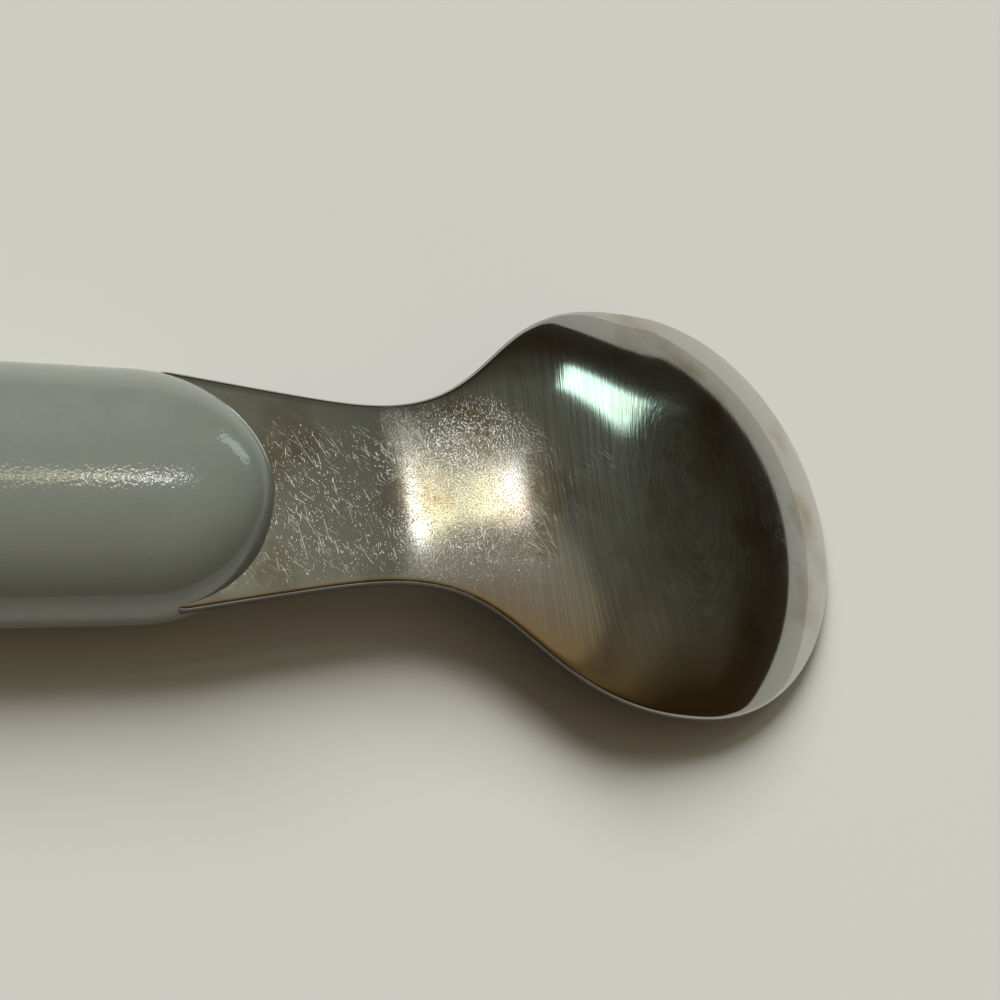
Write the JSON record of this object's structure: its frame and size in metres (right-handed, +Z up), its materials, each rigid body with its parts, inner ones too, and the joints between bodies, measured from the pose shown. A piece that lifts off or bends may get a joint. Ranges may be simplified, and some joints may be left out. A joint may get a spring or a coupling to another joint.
{
  "type": "baby spoon",
  "caption": "Small feeding spoon for a baby or toddler: a shallow round steel bowl on a short flat neck, with a plastic handle moulded round the steel.",
  "frame": {"origin": "under the middle of the spoon's length, on the surface that it lies on, face down", "axes": "+X along the spoon towards the tip of the bowl, +Z up, out of the back of the bowl, and +Y across it"},
  "size_m": [0.1386, 0.031, 0.0094],
  "materials": {
    "steel": "finely brushed stainless steel with worn scratches",
    "grip_plastic": "grey-green moulded plastic, semi-gloss with a slight orange peel"
  },
  "bodies": {
    "root": {"spoon_blade": "steel", "handle": "grip_plastic"}
  },
  "joints": []
}
